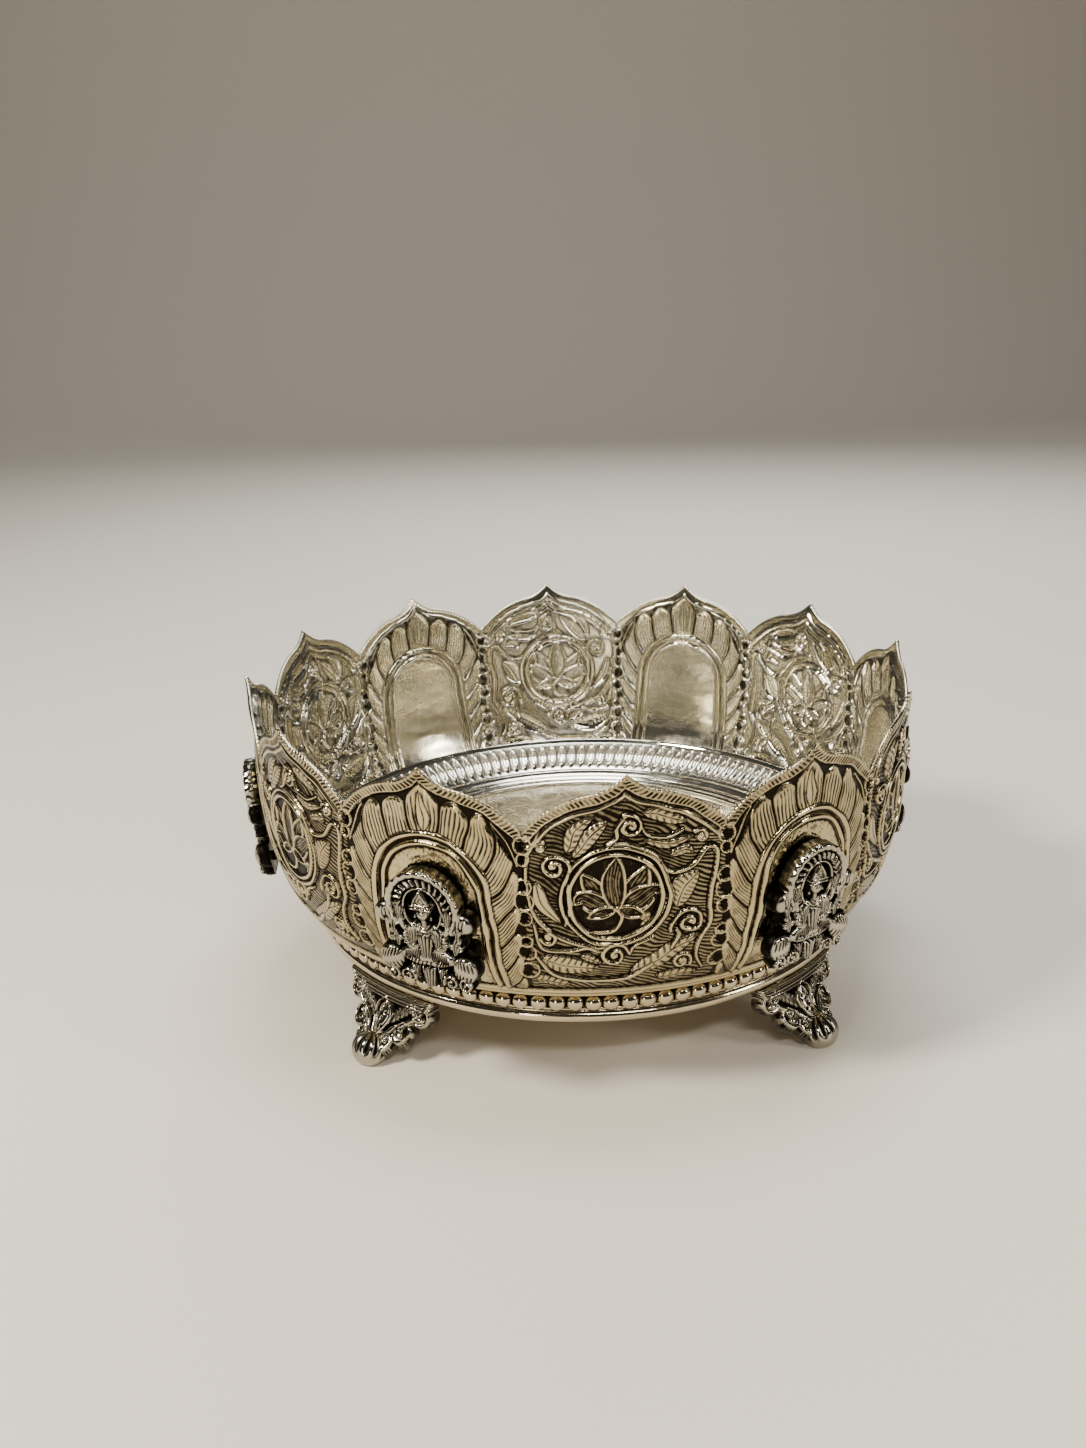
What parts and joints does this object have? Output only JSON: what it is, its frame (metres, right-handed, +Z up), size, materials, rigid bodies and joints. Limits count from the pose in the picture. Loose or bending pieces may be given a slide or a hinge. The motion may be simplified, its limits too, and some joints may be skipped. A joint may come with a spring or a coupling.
{
  "type": "offering bowl",
  "caption": "Round silver offering bowl with a scalloped lotus-petal wall, cast deity plaques in arched niches, a beaded base, a fluted floor and cast palmette feet.",
  "frame": {"origin": "on the table under the middle of the bowl, at the soles of the feet", "axes": "+Z up along the bowl's axis; -Y towards the front petal, which carries a medallion; +X to the right of it, through the middle of a niche"},
  "size_m": [0.2066, 0.201, 0.0975],
  "materials": {
    "wall_silver": "chased and oxidised white brass (German silver), warm polish on the high lines",
    "floor_silver": "bright burnished white brass (German silver)",
    "cast_silver": "cast white brass, blackened in the hollows and polished on the high points",
    "trim_silver": "polished white brass with dark solder lines"
  },
  "bodies": {
    "root": {"petal_wall": "wall_silver", "floor_dish": "floor_silver", "base_pan": "trim_silver", "base_moulding": "trim_silver", "bead_band": "trim_silver", "plaque_right": "cast_silver", "plaque_back_right": "cast_silver", "plaque_back_left": "cast_silver", "plaque_left": "cast_silver", "plaque_front_left": "cast_silver", "plaque_front_right": "cast_silver", "foot_front_left": "cast_silver", "foot_front_right": "cast_silver", "foot_back_right": "cast_silver", "foot_back_left": "cast_silver", "foot_rivets": "cast_silver"}
  },
  "joints": []
}
